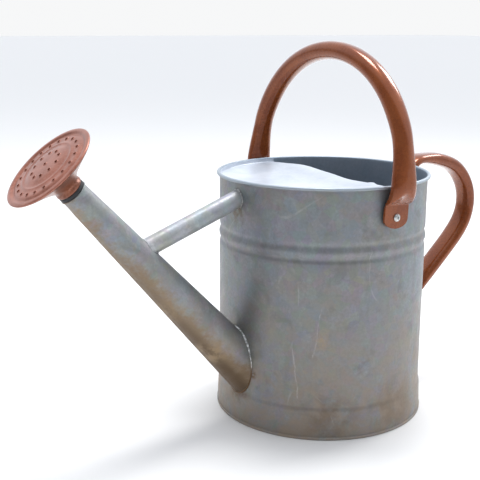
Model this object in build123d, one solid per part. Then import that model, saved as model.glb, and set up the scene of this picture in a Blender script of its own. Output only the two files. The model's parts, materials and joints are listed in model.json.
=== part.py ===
from build123d import *
from math import atan2, cos, radians, sin, sqrt
import os

# A galvanised watering can. Millimetres. The origin is the centre of the foot's circle, on the ground;
# +Z is up, the spout points to -X, the rear handle is on +X and the carrying handle swings about Y.

# ---- driving dimensions ----
SHEET = 0.6            # thickness of the galvanised sheet
WALL_R = 95.0          # outside radius of the drum
RIM_TOP = 223.0        # height of the curled rim
RIM_ROLL_R = 1.6       # outside radius of the curl
BAND_Z = 167.0         # middle of the pressed band
FOOT_R = 96.9          # outside radius of the wall at the foot
FOOT_STEP_Z = 27.5     # where the wall steps out to the foot
PAN_LIFT = 6.0         # underside of the base above the ground
HOOD_BACK = 12.0       # the hood's free edge, behind the can's axis

SPOUT_ROOT_Z = 59.0    # height of the spout's axis where it leaves the wall
SPOUT_ROOT_R = 20.5
SPOUT_TIP = (-246.1, 224.9)
SPOUT_TIP_R = 11.0
MOUTH = 2.2            # the rolled mouth stands this far past the tip point

STRUT_R = 7.9
STRUT_BODY_Z = 205.5   # height of the brace's axis at the wall
STRUT_SPOUT = (-195.7, 169.5)

PIVOT_Z = 195.8        # bolts of the bail, and the upper bolt of the rear handle
REAR_LOW_Z = 56.0      # lower bolt of the rear handle
BAIL_W = 107.9         # half the bail's width, to the middle of its tube
BAIL_H = 135.5         # rise of its tube's middle over the pivots
BAIL_LEAN = 3.0        # how far the bail leans back at rest, degrees
TUBE_SHEET = 0.9       # wall of the handles' tube

TAB_HALF_W = 14.3      # flattened tabs of both handles
TAB_T = 2.4
TAB_LOW = 9.6          # from a bolt down to the end of its tab
TAB_CORNER = 6.4       # length over which the tab's end is rounded
TAB_FACE = 1.6         # gap between the drum and a tab, filled by a shaped washer
TAB_MID = WALL_R + TAB_FACE + TAB_T / 2
SEAL_GAP = 0.4         # between the outer shaped washers and the tabs
SEAL_IN = 1.3          # thickness of the inner shaped washers
BOLT_R = 2.0
BOLT_CLEAR = 0.06      # radial clearance of the tabs on their bolts
HEAD_R = 3.3
HEAD_H = 2.2

ROSE_R = 40.2          # outside radius of the rose's face
ROSE_EDGE = 30.7       # its edge, measured along the spout from the tip point
HOLE_R = 0.95
OUTER_HOLES = 20
OUTER_RING_R = 28.8
INNER_HOLES = 10
INNER_RING_R = 13.2
BUSH_BORE = 9.3        # bore of the rubber bush in the spout's mouth
SPIGOT_GAP = 0.05      # radial clearance of the spigot in the bush
SPIGOT_IN = 20.0       # how far the spigot reaches down the spout
NECK = MOUTH + 3.4     # where the rose's neck starts, just clear of the bush

WALL_IN = WALL_R - SHEET
RIM_Z = RIM_TOP - RIM_ROLL_R
RIM_R = WALL_IN + RIM_ROLL_R

SPOUT_RUN = (-WALL_R - SPOUT_TIP[0], SPOUT_TIP[1] - SPOUT_ROOT_Z)
SPOUT_LEN = sqrt(SPOUT_RUN[0] ** 2 + SPOUT_RUN[1] ** 2)
SPOUT_RISE = atan2(SPOUT_RUN[1], SPOUT_RUN[0])
SPOUT_DIR = Vector(-cos(SPOUT_RISE), 0, sin(SPOUT_RISE))
TAPER = (SPOUT_ROOT_R - SPOUT_TIP_R) / SPOUT_LEN
# Along this plane's Z the tip point is 0, and its Y is the can's Y.
TIP = Plane(origin=(SPOUT_TIP[0], 0, SPOUT_TIP[1]), x_dir=(sin(SPOUT_RISE), 0, cos(SPOUT_RISE)), z_dir=SPOUT_DIR)


# ---- small helpers ----
def one(shape):
    """The single solid in a shape."""
    solids = shape.solids()
    assert len(solids) == 1, f"{len(solids)} solids where one is meant"
    return solids[0]


def ease(value, start, end):
    """0 before start, 1 after end, smooth between."""
    t = min(1.0, max(0.0, (value - start) / (end - start)))
    return t * t * (3 - 2 * t)


def spun(*edges):
    """The solid made by turning a closed (radius, height) outline about Z."""
    face = make_face(Plane.XZ * Curve(list(edges)))
    return revolve(face, Axis.Z)


def line(*points):
    return Polyline(*points)


def cone(extra, start, end):
    """A cone about the spout's axis, larger than the tube's outside by extra."""
    low = SPOUT_TIP_R + extra - TAPER * start
    high = SPOUT_TIP_R + extra - TAPER * end
    plane = TIP.offset(start)
    return Solid.make_cone(low, high, end - start, plane=plane)


def drum(radius):
    return Pos(0, 0, 150) * Cylinder(radius, 500)


# ---- drum ----
def wall_line(shift):
    """The wall's profile from the foot to the curl, moved outwards by shift, as (radius, height) edges."""
    r = WALL_R + shift
    foot = FOOT_R + shift
    groove, ridge, pitch = r - 0.8, r + 0.4, 6.0
    lower = line((foot, 0.7), (foot, 8), (r + 1.3, FOOT_STEP_Z - 3.5))
    step = Spline((r + 1.3, FOOT_STEP_Z - 3.5), (r, FOOT_STEP_Z + 2.5), tangents=[(-0.08, 1), (0, 1)])
    straight = line((r, FOOT_STEP_Z + 2.5), (r, BAND_Z - 10))
    band = Spline(
        (r, BAND_Z - 10),
        (groove, BAND_Z - pitch),
        (ridge, BAND_Z),
        (groove, BAND_Z + pitch),
        (r, BAND_Z + 10),
        tangents=[(0, 1), (0, 1)],
    )
    upper = line((r, BAND_Z + 10), (r, RIM_Z))
    return [lower, step, straight, band, upper]


def wall_sheet(inside, outside):
    """The drum's sheet between two shifts of its profile, turned about Z."""
    inner, outer = wall_line(inside), wall_line(outside)
    foot = line((FOOT_R + inside, 0.7), (FOOT_R + outside, 0.7))
    top = line((WALL_R + inside, RIM_Z), (WALL_R + outside, RIM_Z))
    return make_face(Plane.XZ * Curve([*inner, *outer, foot, top]))


def wall_holes():
    """Bolt holes through the wall and the spout's opening."""
    across = Pos(0, 0, PIVOT_Z) * Rot(90, 0, 0) * Cylinder(BOLT_R + 0.1, 300)
    upper = Pos(WALL_R, 0, PIVOT_Z) * Rot(0, 90, 0) * Cylinder(BOLT_R + 0.1, 30)
    lower = Pos(WALL_R, 0, REAR_LOW_Z) * Rot(0, 90, 0) * Cylinder(BOLT_R + 0.1, 30)
    return across + upper + lower


def body_wall():
    seam_height = RIM_Z - 3.5
    sheet = revolve(wall_sheet(-SHEET, 0), Axis.Z)
    seam = revolve(wall_sheet(-SHEET / 2, 0.5), Axis.Z, 4.6)
    seam = seam & Pos(0, 0, seam_height / 2 + 1.5) * Cylinder(120, seam_height)
    curl = spun(Pos(RIM_R, RIM_Z) * CenterArc((0, 0), RIM_ROLL_R, 0, 360))
    bore = spun(Pos(RIM_R, RIM_Z) * CenterArc((0, 0), RIM_ROLL_R - SHEET, 0, 360))
    wall = sheet + Rot(0, 0, 38) * seam + curl - bore
    return one(wall - wall_holes() - cone(0, -300, -150))


def rim_wire():
    return one(spun(Pos(RIM_R, RIM_Z) * CenterArc((0, 0), RIM_ROLL_R - SHEET, 0, 360)))


def base_pan():
    """A disc with a leg down inside the wall, turned out under its edge and up outside it."""
    slack = 0.03
    leg_r, wall_r, fold_r, fold_top = FOOT_R - SHEET - slack, FOOT_R + slack, FOOT_R + 0.6, 2.6
    corner, under = 2.0, 0.7 - slack
    outline = [
        line((0, PAN_LIFT), (leg_r - SHEET - corner, PAN_LIFT)),
        RadiusArc((leg_r - SHEET - corner, PAN_LIFT), (leg_r - SHEET, PAN_LIFT - corner), corner),
        line((leg_r - SHEET, PAN_LIFT - corner), (leg_r - SHEET, 0), (fold_r - 0.5, 0)),
        RadiusArc((fold_r - 0.5, 0), (fold_r, 0.5), -0.5),
        line((fold_r, 0.5), (fold_r, fold_top), (wall_r, fold_top), (wall_r, under), (leg_r, under)),
        line((leg_r, under), (leg_r, PAN_LIFT - corner)),
        RadiusArc((leg_r, PAN_LIFT - corner), (leg_r - SHEET - corner, PAN_LIFT + SHEET), -corner - SHEET),
        line((leg_r - SHEET - corner, PAN_LIFT + SHEET), (0, PAN_LIFT + SHEET), (0, PAN_LIFT)),
    ]
    return one(spun(*outline))


def splash_hood():
    """A shallow dished half disc with an upstanding flange against the wall."""
    rim, top, flat, dish, thick = WALL_IN, RIM_Z + 0.6, 218.2, 1.6, 0.5
    outline = line(
        (0, flat - dish), (rim * 0.6, flat - dish * 0.7), (rim - 1, flat), (rim - thick, flat + 0.5),
        (rim - thick, top), (rim, top), (rim, flat), (rim - 1, flat - thick),
        (rim * 0.6, flat - dish * 0.7 - thick), (0, flat - dish - thick), (0, flat - dish),
    )
    behind = Pos(HOOD_BACK + 100, 0, flat) * Box(200, 220, 20)
    return one(spun(outline) - behind)


# ---- spout and brace ----
def spout_tube():
    """A tapered tube trimmed flush with the inside of the drum, with a small roll at its mouth."""
    mouth_z = MOUTH - 0.7
    tube = cone(0, -260, mouth_z) - cone(-SHEET, -261, mouth_z + 1)
    roll_r = SPOUT_TIP_R - TAPER * mouth_z - SHEET / 2 + 0.4
    roll = TIP * (Pos(0, 0, mouth_z) * Torus(roll_r, 0.7))
    return one(tube + roll - drum(WALL_IN))


def spout_solder():
    filled = revolve(wall_sheet(-WALL_R, 0), Axis.Z)
    bead = cone(2.2, -250, -140) & (drum(WALL_R + 1.3) - drum(WALL_R))
    return one(bead - cone(0, -251, -139) - filled)


def strut_cylinder(radius):
    """A cylinder along the brace, running a little past both of its ends."""
    start = Vector(-WALL_R, 0, STRUT_BODY_Z)
    run = Vector(STRUT_SPOUT[0], 0, STRUT_SPOUT[1]) - start
    past = 12.0
    plane = Plane(origin=start - run.normalized() * past, x_dir=(0, 1, 0), z_dir=run)
    return plane * (Pos(0, 0, (run.length + past) / 2) * Cylinder(radius, run.length + past))


def strut_tube():
    tube = strut_cylinder(STRUT_R) - strut_cylinder(STRUT_R - 0.8)
    return one(tube - drum(WALL_R) - cone(0, -140, -20))


def strut_body_solder():
    collar = strut_cylinder(STRUT_R + 1.5) - strut_cylinder(STRUT_R)
    return one(collar & (drum(WALL_R + 1.1) - drum(WALL_R)))


def strut_spout_solder():
    collar = strut_cylinder(STRUT_R + 1.6) - strut_cylinder(STRUT_R)
    return one(collar & (cone(1.2, -140, -20) - cone(0, -141, -19)))


# ---- tube handles ----
def tube_ring(centre, along, across, half_thick, half_wide, squareness):
    """One closed section of a flattened tube, square to its path: a rounded oval in four smooth edges."""
    out = across.cross(along)
    corner = 0.5 ** (1 / squareness)
    wide, thick = across * half_wide, out * half_thick
    knots = [0, 0.25, 0.5, 0.75, 1]
    edges = []
    for a, b in ((wide, thick), (thick, -wide), (-wide, -thick), (-thick, wide)):
        # this edge bulges towards b and runs from the corner a + b to the corner b - a
        points = []
        for knot in knots:
            t = corner * (1 - 2 * knot)
            points.append(centre + a * t + b * (1 - abs(t) ** squareness) ** (1 / squareness))
        edges.append(Edge.make_spline(points, tangents=[b - a, -a - b], parameters=knots))
    return Wire(edges)


def stations(length):
    """Distances along a handle, close together at its bends and wider apart along its middle."""
    half, step = [0, 2, 4, TAB_CORNER, 10, 14.5], 4.0
    while half[-1] + step < length / 2 - 8:
        half.append(half[-1] + step)
        step = min(22.0, step * 1.14)
    return half + [length / 2] + [length - d for d in reversed(half)]


def tube_handle(path, across, section):
    """A hollow tube lofted along a path; section(distance) gives half thickness, half width and squareness."""
    outer, inner = [], []
    for distance in stations(path.length):
        at = distance / path.length
        thick, wide, squareness = section(distance)
        place = (path @ at, (path % at).normalized(), across)
        outer.append(tube_ring(*place, thick, wide, squareness))
        if thick > 3.4:
            inner.append(tube_ring(*place, thick - TUBE_SHEET, wide - TUBE_SHEET, squareness))
    return Solid.make_loft(outer) - Solid.make_loft(inner)


def end_section(distance, full=75.0):
    """Half thickness, half width and squareness of the tube at a distance from the rounded end of its tab.

    The tube leaves the tab after its flat stretch and is at its full thickness that much further on.
    """
    leaves = 16.6
    thick = TAB_T / 2 + 4.45 * ease(distance, leaves, leaves + 17) + 2.5 * ease(distance, leaves + 14, leaves + full)
    rounding = max(0.0, 1 - distance / TAB_CORNER) ** 1.6
    wide = TAB_HALF_W - 7.0 * rounding - 5.0 * ease(distance, leaves + 4, leaves + 58)
    squareness = 7 - 4.6 * ease(distance, leaves - 3, leaves + 22)
    return thick, wide, squareness


def bolt_hole():
    """What a bolt takes from a tab, along Y through 0."""
    return Rot(90, 0, 0) * Cylinder(BOLT_R + BOLT_CLEAR, 30)


def bail_path():
    """The bail's middle line, in the plane X = 0 with its pivots at Z = 0, from the -Y tab to the +Y tab."""
    end = [(-TAB_MID, z) for z in (-TAB_LOW, -5, -1, 3, 6.5)] + [
        (-TAB_MID - 5.0, 17.5), (-104.6, 25), (-104.1, 34), (-102.9, 44), (-100.8, 56),
    ]
    arch, lowest, spans = [], 71.5, 20
    for i in range(1, spans):
        angle = radians(lowest * (2 * i / spans - 1))
        arch.append((BAIL_W * sin(angle), BAIL_H * cos(angle) ** 0.8))
    points = end + arch + [(-y, z) for y, z in reversed(end)]
    return Spline([Vector(0, y, z) for y, z in points], tangents=[(0, 0, 1), (0, 0, -1)])


def bail_handle():
    path = bail_path()

    def section(distance):
        return end_section(min(distance, path.length - distance), 44.0)

    handle = tube_handle(path, Vector(1, 0, 0), section)
    handle = handle - Pos(0, TAB_MID, 0) * bolt_hole() - Pos(0, -TAB_MID, 0) * bolt_hole()
    return Pos(0, 0, PIVOT_Z) * Rot(0, BAIL_LEAN, 0) * one(handle)


def rear_path():
    """The rear handle's middle line, in the plane Y = 0, from its upper tab round to its lower one."""
    x, top, low = TAB_MID, PIVOT_Z, REAR_LOW_Z
    points = [
        (x, top - TAB_LOW), (x, top - 5), (x, top - 1), (x, top + 3), (x, top + 6.5),
        (x + 2.7, top + 15), (x + 9, top + 23.2),
        (x + 18, top + 27.8), (x + 30, top + 28.6), (140, 223.3), (151, 221), (170.5, 213.3),
        (184.5, 199.5), (191.6, 183.5), (192, 169.5), (187.8, 156.5), (178.5, 143.5),
        (162.5, 127.8), (145, 111.9), (127, 95.6), (x + 14.5, low + 26.3), (x + 5, low + 16.6),
        (x, low + 6.5), (x, low + 3), (x, low - 1), (x, low - 5), (x, low - TAB_LOW),
    ]
    return Spline([Vector(px, 0, pz) for px, pz in points], tangents=[(0, 0, 1), (0, 0, -1)])


def rear_handle():
    path = rear_path()

    def section(distance):
        thick, wide, squareness = end_section(min(distance, path.length - distance))
        slimmer = 1.3 * ease(distance, 30, 76) * ease(path.length - distance, 30, 76)
        wider = 1.1 * ease(distance, 40, 80) + 1.0 * ease(distance, 150, 190)
        return thick - slimmer, wide + wider * ease(path.length - distance, 30, 76), squareness

    handle = tube_handle(path, Vector(0, -1, 0), section)
    for height in (PIVOT_Z, REAR_LOW_Z):
        handle = handle - Pos(TAB_MID, 0, height) * Rot(0, 0, 90) * bolt_hole()
    return one(handle)


# ---- fasteners ----
# Each is made on the +X side with its axis on X at Z = 0, then placed at its bolt.
def bolt():
    seat = WALL_R + TAB_FACE + TAB_T + 0.1
    end = WALL_IN - 8.0
    shank = Pos((seat + end) / 2, 0, 0) * Rot(0, 90, 0) * Cylinder(BOLT_R, seat - end)
    head = Rot(0, 90, 0) * spun(
        line((0, seat), (HEAD_R, seat), (HEAD_R, seat + 0.9)),
        ThreePointArc((HEAD_R, seat + 0.9), (HEAD_R * 0.72, seat + 1.8), (0, seat + HEAD_H)),
        line((0, seat + HEAD_H), (0, seat)),
    )
    slot = Box(2.4, 0.8, 3.8)
    cross = Pos(seat + HEAD_H, 0, 0) * (slot + Rot(90, 0, 0) * slot)
    return one(shank + head - cross)


def shaped_washers():
    """Two rubber washers that fill the curve: outside under the tab, and inside under the steel washer."""
    ring = Pos(WALL_R, 0, 0) * Rot(0, 90, 0) * (Cylinder(5.4, 30) - Cylinder(BOLT_R + 0.1, 30))
    outside = Pos(WALL_R + TAB_FACE - SEAL_GAP - 15, 0, 0) * Box(30, 30, 30)
    inside = Pos(WALL_IN - SEAL_IN + 15, 0, 0) * Box(30, 30, 30)
    return [one(ring & outside - drum(WALL_R)), one(ring & inside & drum(WALL_IN))]


def steel_washer():
    outer, inner = Cylinder(5.0, 0.8), Cylinder(BOLT_R + 0.1, 2)
    return one(Pos(WALL_IN - SEAL_IN - 0.4, 0, 0) * Rot(0, 90, 0) * (outer - inner))


def nut():
    blank = extrude(RegularPolygon(3.5, 6, major_radius=False), 3.2)
    body = blank - Cylinder(BOLT_R, 20)
    return one(Pos(WALL_IN - SEAL_IN - 0.8 - 3.2, 0, 0) * Rot(0, 90, 0) * body)


PIVOTS = [Pos(0, 0, PIVOT_Z) * Rot(0, 0, 90), Pos(0, 0, PIVOT_Z) * Rot(0, 0, -90)]
REAR_BOLTS = [Pos(0, 0, PIVOT_Z), Pos(0, 0, REAR_LOW_Z)]


def placed(places, *pieces):
    return Compound([place * piece for place in places for piece in pieces])


# ---- rose ----
def rose_seal():
    """The rubber bush: a sleeve inside the mouth and a flange between the mouth and the rose."""
    flange_r, sleeve_r, sleeve_in = 11.4, 10.0, 15.0
    low, high = MOUTH + 0.3, MOUTH + 3.2
    outline = [
        line((BUSH_BORE, -sleeve_in), (sleeve_r, -sleeve_in), (sleeve_r, low), (flange_r - 0.4, low)),
        RadiusArc((flange_r - 0.4, low), (flange_r, low + 0.4), -0.4),
        line((flange_r, low + 0.4), (flange_r, high - 0.4)),
        RadiusArc((flange_r, high - 0.4), (flange_r - 0.4, high), -0.4),
        line((flange_r - 0.4, high), (BUSH_BORE, high), (BUSH_BORE, -sleeve_in)),
    ]
    return one(TIP * spun(*outline))


def rose_spigot():
    outer = BUSH_BORE - SPIGOT_GAP
    length = SPIGOT_IN + NECK + 4
    tube = Cylinder(outer, length) - Cylinder(outer - SHEET, length + 1)
    return one(TIP * (Pos(0, 0, NECK + 4 - length / 2) * tube))


def funnel_line(shift):
    """The funnel's outside from its neck to under the face's rolled edge, moved in by shift."""
    return Spline(
        (11.2 - shift, NECK),
        (11.6 - shift, NECK + 1.6),
        (11.3 - shift, NECK + 4.2),
        (13.6 - shift, NECK + 7.5),
        (20.5 - shift * 0.7, NECK + 12.6 + shift * 0.7),
        (30.0 - shift * 0.4, NECK + 18.3 + shift * 0.9),
        (38.6 - shift * 0.4, NECK + 23.2 + shift * 0.9),
    )


def rose_funnel():
    outer, inner = funnel_line(0), funnel_line(SHEET)
    neck = line(outer @ 0, (BUSH_BORE - SPIGOT_GAP, NECK), (BUSH_BORE - SPIGOT_GAP, NECK + 4), inner @ 0.12)
    inner = inner.trim(0.12, 1)
    edge = line(outer @ 1, inner @ 1)
    return one(TIP * spun(outer, inner, neck, edge))


def face_line(shift):
    """The face from its centre out over the dome, the embossed ridge, the channel and the rolled rim."""
    e = ROSE_EDGE - shift
    return Spline(
        (0, e + 3.4),
        (13, e + 3.1),
        (19.5, e + 1.9),
        (23.2, e + 1.7),
        (26, e + 1.0),
        (31, e + 0.7),
        (33.6, e - 0.6),
        (35.2, e - 0.5),
        (37.2, e + 0.9),
        (39.2, e + 1.0),
        tangents=[(1, 0), (1, -0.1)],
    )


def hole_places():
    rings = [(OUTER_HOLES, OUTER_RING_R, 0.0, 0.8), (INNER_HOLES, INNER_RING_R, 4.0, 3.1), (1, 0.0, 0.0, 3.4)]
    places = []
    for count, radius, phase, height in rings:
        for i in range(count):
            angle = radians(phase + 360 * i / count)
            places.append((radius * cos(angle), radius * sin(angle), ROSE_EDGE + height))
    return places


def rose_face():
    """A thin pressed plate whose edge rolls back over the funnel; each hole has a punched-up burr."""
    front, back = face_line(0), face_line(SHEET)
    e = ROSE_EDGE
    roll = Spline(front @ 1, (ROSE_R, e), (39.3, e - 1.3), tangents=[(1, -0.1), (-1, -0.5)])
    hem = line((39.3, e - 1.3), (38.9, e - 0.9))
    inside = Spline((38.9, e - 0.9), (ROSE_R - SHEET, e), back @ 1, tangents=[(1, 0.5), (-1, 0.1)])
    middle = line(front @ 0, back @ 0)
    face = spun(front, roll, hem, inside, back, middle)
    burr = Cone(HOLE_R + 0.85, HOLE_R + 0.25, 0.9)
    punch = Cylinder(HOLE_R, 8)
    places = hole_places()
    face = face + [Pos(x, y, z + 0.1) * burr for x, y, z in places]
    face = face - [Pos(x, y, z) * punch for x, y, z in places]
    return one(TIP * face)


# ---- one file for each piece ----
NODES = {
    "body_wall": body_wall,
    "rim_wire": rim_wire,
    "base_pan": base_pan,
    "splash_hood": splash_hood,
    "spout_tube": spout_tube,
    "spout_solder": spout_solder,
    "strut_tube": strut_tube,
    "strut_body_solder": strut_body_solder,
    "strut_spout_solder": strut_spout_solder,
    "rear_handle": rear_handle,
    "rear_handle_bolts": lambda: placed(REAR_BOLTS, bolt()),
    "rear_handle_seals": lambda: placed(REAR_BOLTS, *shaped_washers()),
    "rear_handle_washers": lambda: placed(REAR_BOLTS, steel_washer()),
    "rear_handle_nuts": lambda: placed(REAR_BOLTS, nut()),
    "bail_handle": bail_handle,
    "bail_bolts": lambda: placed(PIVOTS, bolt()),
    "bail_seals": lambda: placed(PIVOTS, *shaped_washers()),
    "bail_washers": lambda: placed(PIVOTS, steel_washer()),
    "bail_nuts": lambda: placed(PIVOTS, nut()),
    "rose_seal": rose_seal,
    "rose_spigot": rose_spigot,
    "rose_funnel": rose_funnel,
    "rose_face": rose_face,
}

os.makedirs("parts", exist_ok=True)
for name, make in NODES.items():
    export_step(make(), f"parts/{name}.step")
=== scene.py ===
import json
import math

import bmesh
import bpy
import numpy as np
from mathutils import Matrix, Vector, noise

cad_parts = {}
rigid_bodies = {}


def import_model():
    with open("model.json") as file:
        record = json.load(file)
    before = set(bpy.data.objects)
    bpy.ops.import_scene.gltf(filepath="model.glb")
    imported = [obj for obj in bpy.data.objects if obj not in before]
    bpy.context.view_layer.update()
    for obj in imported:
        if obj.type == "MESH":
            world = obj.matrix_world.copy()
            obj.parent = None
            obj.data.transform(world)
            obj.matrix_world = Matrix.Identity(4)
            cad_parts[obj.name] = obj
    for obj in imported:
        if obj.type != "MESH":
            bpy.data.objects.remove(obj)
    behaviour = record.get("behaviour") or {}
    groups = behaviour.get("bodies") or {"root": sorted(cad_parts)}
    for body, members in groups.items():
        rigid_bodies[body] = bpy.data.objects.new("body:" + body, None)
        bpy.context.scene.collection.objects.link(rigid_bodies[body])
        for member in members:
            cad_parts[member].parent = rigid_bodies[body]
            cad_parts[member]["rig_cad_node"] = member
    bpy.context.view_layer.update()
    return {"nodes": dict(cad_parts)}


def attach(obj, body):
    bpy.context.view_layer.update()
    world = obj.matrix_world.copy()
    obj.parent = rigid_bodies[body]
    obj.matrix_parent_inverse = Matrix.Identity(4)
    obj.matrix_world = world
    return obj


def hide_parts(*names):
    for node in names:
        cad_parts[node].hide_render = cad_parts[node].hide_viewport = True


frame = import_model()

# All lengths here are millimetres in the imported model's frame: +Z up, spout to -X, rear handle on +X.
MM = 0.001

WALL_R, SHEET = 95.0, 0.6
RIM_Z, RIM_R, CURL_R = 221.4, 96.0, 1.6
FOOT_R, BAND_Z = 96.9, 167.0
SPOUT_ROOT = Vector((-95.0, 0.0, 59.0))
SPOUT_TIP = Vector((-246.1, 0.0, 224.9))
SPOUT_ROOT_R, SPOUT_TIP_R, MOUTH = 20.5, 11.0, 2.2
STRUT_R = 7.9
STRUT_START = Vector((-95.0, 0.0, 205.5))
STRUT_END = Vector((-195.7, 0.0, 169.5))
PIVOT_Z, REAR_LOW_Z = 195.8, 56.0
BAIL_W, BAIL_H, BAIL_LEAN = 107.9, 135.5, 3.0
TAB_IN, TAB_OUT, TAB_HALF_W, TAB_LOW = 96.6, 99.0, 14.3, 9.6
ROSE_R, ROSE_EDGE, HOLE_R = 40.2, 30.7, 1.2
HOOD_BACK = 12.0
SEAM_AT, SEAM_END = math.radians(38.0), math.radians(42.6)

SPOUT_DIR = (SPOUT_TIP - SPOUT_ROOT).normalized()
SPOUT_LEN = (SPOUT_TIP - SPOUT_ROOT).length
TAPER = (SPOUT_ROOT_R - SPOUT_TIP_R) / SPOUT_LEN
# Z along the spout from the tip point, Y as the can's Y
TIP = Matrix.Translation(SPOUT_TIP) @ Matrix((
    (SPOUT_DIR.z, 0, SPOUT_DIR.x, 0),
    (0, 1, 0, 0),
    (-SPOUT_DIR.x, 0, SPOUT_DIR.z, 0),
    (0, 0, 0, 1),
))


# ---------------------------------------------------------------- helpers for shapes
def ease(value, start, end):
    """0 before start, 1 after end, smooth between."""
    t = min(1.0, max(0.0, (value - start) / (end - start)))
    return t * t * (3 - 2 * t)


def rough(x, y, z, scale, seed=0.0):
    """Smooth noise from -1 to 1 for a point in millimetres; scale is the size of its lumps."""
    return noise.noise(Vector((x / scale + seed, y / scale - seed, z / scale + 2 * seed)))


def smooth_line(points, count, start=None, end=None):
    """count points, evenly spaced along a smooth curve through the given points (any dimension)."""
    p = np.array(points, float)
    chord = np.concatenate([[0], np.cumsum(np.linalg.norm(np.diff(p, axis=0), axis=1))])
    n, h = len(p), np.diff(chord)
    rows, right = np.zeros((n, n)), np.zeros_like(p)
    for i in range(1, n - 1):
        rows[i, i - 1], rows[i, i], rows[i, i + 1] = h[i], 2 * (h[i - 1] + h[i]), h[i - 1]
        right[i] = 3 * (h[i] * (p[i] - p[i - 1]) / h[i - 1] + h[i - 1] * (p[i + 1] - p[i]) / h[i])
    for row, near, given, run in ((0, 1, start, h[0]), (n - 1, n - 2, end, h[-1])):
        rows[row, row] = 1
        if given is not None:
            right[row] = np.array(given, float)
        else:
            rows[row, near] = 1
            right[row] = 2 * (p[near] - p[row]) / run * (1 if row == 0 else -1)
    slope = np.linalg.solve(rows, right)
    fine = []
    for i in range(n - 1):
        for t in np.linspace(0, 1, 40, endpoint=False):
            a, b = (2 * t**3 - 3 * t**2 + 1), (t**3 - 2 * t**2 + t)
            c, d = (-2 * t**3 + 3 * t**2), (t**3 - t**2)
            fine.append(a * p[i] + b * h[i] * slope[i] + c * p[i + 1] + d * h[i] * slope[i + 1])
    fine = np.array(fine + [p[-1]])
    along = np.concatenate([[0], np.cumsum(np.linalg.norm(np.diff(fine, axis=0), axis=1))])
    wanted = np.linspace(0, along[-1], count) if isinstance(count, int) else np.array(count) * along[-1]
    return np.stack([np.interp(wanted, along, fine[:, k]) for k in range(p.shape[1])], axis=1)


def rounded(points, radius, steps=4):
    """A 2-D line with its inner corners rounded."""
    out = [Vector(points[0])]
    for a, b, c in zip(points, points[1:], points[2:]):
        a, b, c = Vector(a), Vector(b), Vector(c)
        cut = min(radius, (a - b).length * 0.45, (c - b).length * 0.45)
        p, q = b + (a - b).normalized() * cut, b + (c - b).normalized() * cut
        for k in range(steps + 1):
            t = k / steps
            out.append(p * (1 - t) ** 2 + b * 2 * t * (1 - t) + q * t * t)
    out.append(Vector(points[-1]))
    return [(v.x, v.y) for v in out]


def circle_line(centre, radius, start, end, steps):
    """Points of an arc in the (radius, height) plane, angles in degrees."""
    angles = [math.radians(start + (end - start) * k / steps) for k in range(steps + 1)]
    return [(centre[0] + radius * math.cos(a), centre[1] + radius * math.sin(a)) for a in angles]


def add_piece(name, verts, faces, body, stands_for, sharp=40.0):
    """A mesh object from millimetre points that rides on a body and replaces its CAD nodes."""
    mesh = bpy.data.meshes.new(name)
    mesh.from_pydata([Vector(v) * MM for v in verts], [], faces)
    bm = bmesh.new()
    bm.from_mesh(mesh)
    bmesh.ops.remove_doubles(bm, verts=bm.verts, dist=1e-6)
    bmesh.ops.recalc_face_normals(bm, faces=bm.faces)
    bm.to_mesh(mesh)
    bm.free()
    mesh.shade_smooth()
    mesh.set_sharp_from_angle(angle=math.radians(sharp))
    piece = bpy.data.objects.new(name, mesh)
    bpy.context.scene.collection.objects.link(piece)
    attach(piece, body)
    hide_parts(*stands_for)
    return piece


def grid_faces(rows, columns, close_rows=False, close_columns=True):
    """Quads over rows of columns points each."""
    faces = []
    for i in range(rows if close_rows else rows - 1):
        this, after = i * columns, (i + 1) % rows * columns
        for j in range(columns if close_columns else columns - 1):
            k = (j + 1) % columns
            faces.append((this + j, this + k, after + k, after + j))
    return faces


def turn_angles(count):
    return [2 * math.pi * k / count for k in range(count)]


def crossing(point, inside, a, b):
    """Where point(t) leaves the part of the range a to b in which inside(point) holds."""
    for _ in range(50):
        m = (a + b) / 2
        if inside(point(m)):
            a = m
        else:
            b = m
    return (a + b) / 2


def spin(profile, segments=192, closed=True, place=None, shift=None, angles=None):
    """Points and faces of a (radius, height) line turned about Z; shift(angle, r, z) may move a point."""
    angles = angles or turn_angles(segments)
    verts = []
    for r, z in profile:
        for a in angles:
            rr, zz = shift(a, r, z) if shift else (r, z)
            v = Vector((rr * math.cos(a), rr * math.sin(a), zz))
            verts.append(place @ v if place else v)
    return verts, grid_faces(len(profile), len(angles), close_rows=closed)


def join(*parts):
    """Several (verts, faces) as one."""
    verts, faces = [], []
    for v, f in parts:
        faces += [tuple(i + len(verts) for i in face) for face in f]
        verts += list(v)
    return verts, faces


def cut(piece, verts, faces):
    """Takes a closed shape out of a piece."""
    mesh = bpy.data.meshes.new("cutter")
    mesh.from_pydata([Vector(v) * MM for v in verts], [], faces)
    cutter = bpy.data.objects.new("cutter", mesh)
    bpy.context.scene.collection.objects.link(cutter)
    bm = bmesh.new()
    bm.from_mesh(mesh)
    bmesh.ops.recalc_face_normals(bm, faces=bm.faces)
    bm.to_mesh(mesh)
    bm.free()
    change = piece.modifiers.new("cut", "BOOLEAN")
    change.operation, change.solver, change.object = "DIFFERENCE", "EXACT", cutter
    result = bpy.data.meshes.new_from_object(piece.evaluated_get(bpy.context.evaluated_depsgraph_get()))
    piece.modifiers.clear()
    piece.data = result
    bpy.data.objects.remove(cutter)
    result.set_sharp_from_angle(angle=math.radians(40))


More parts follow.
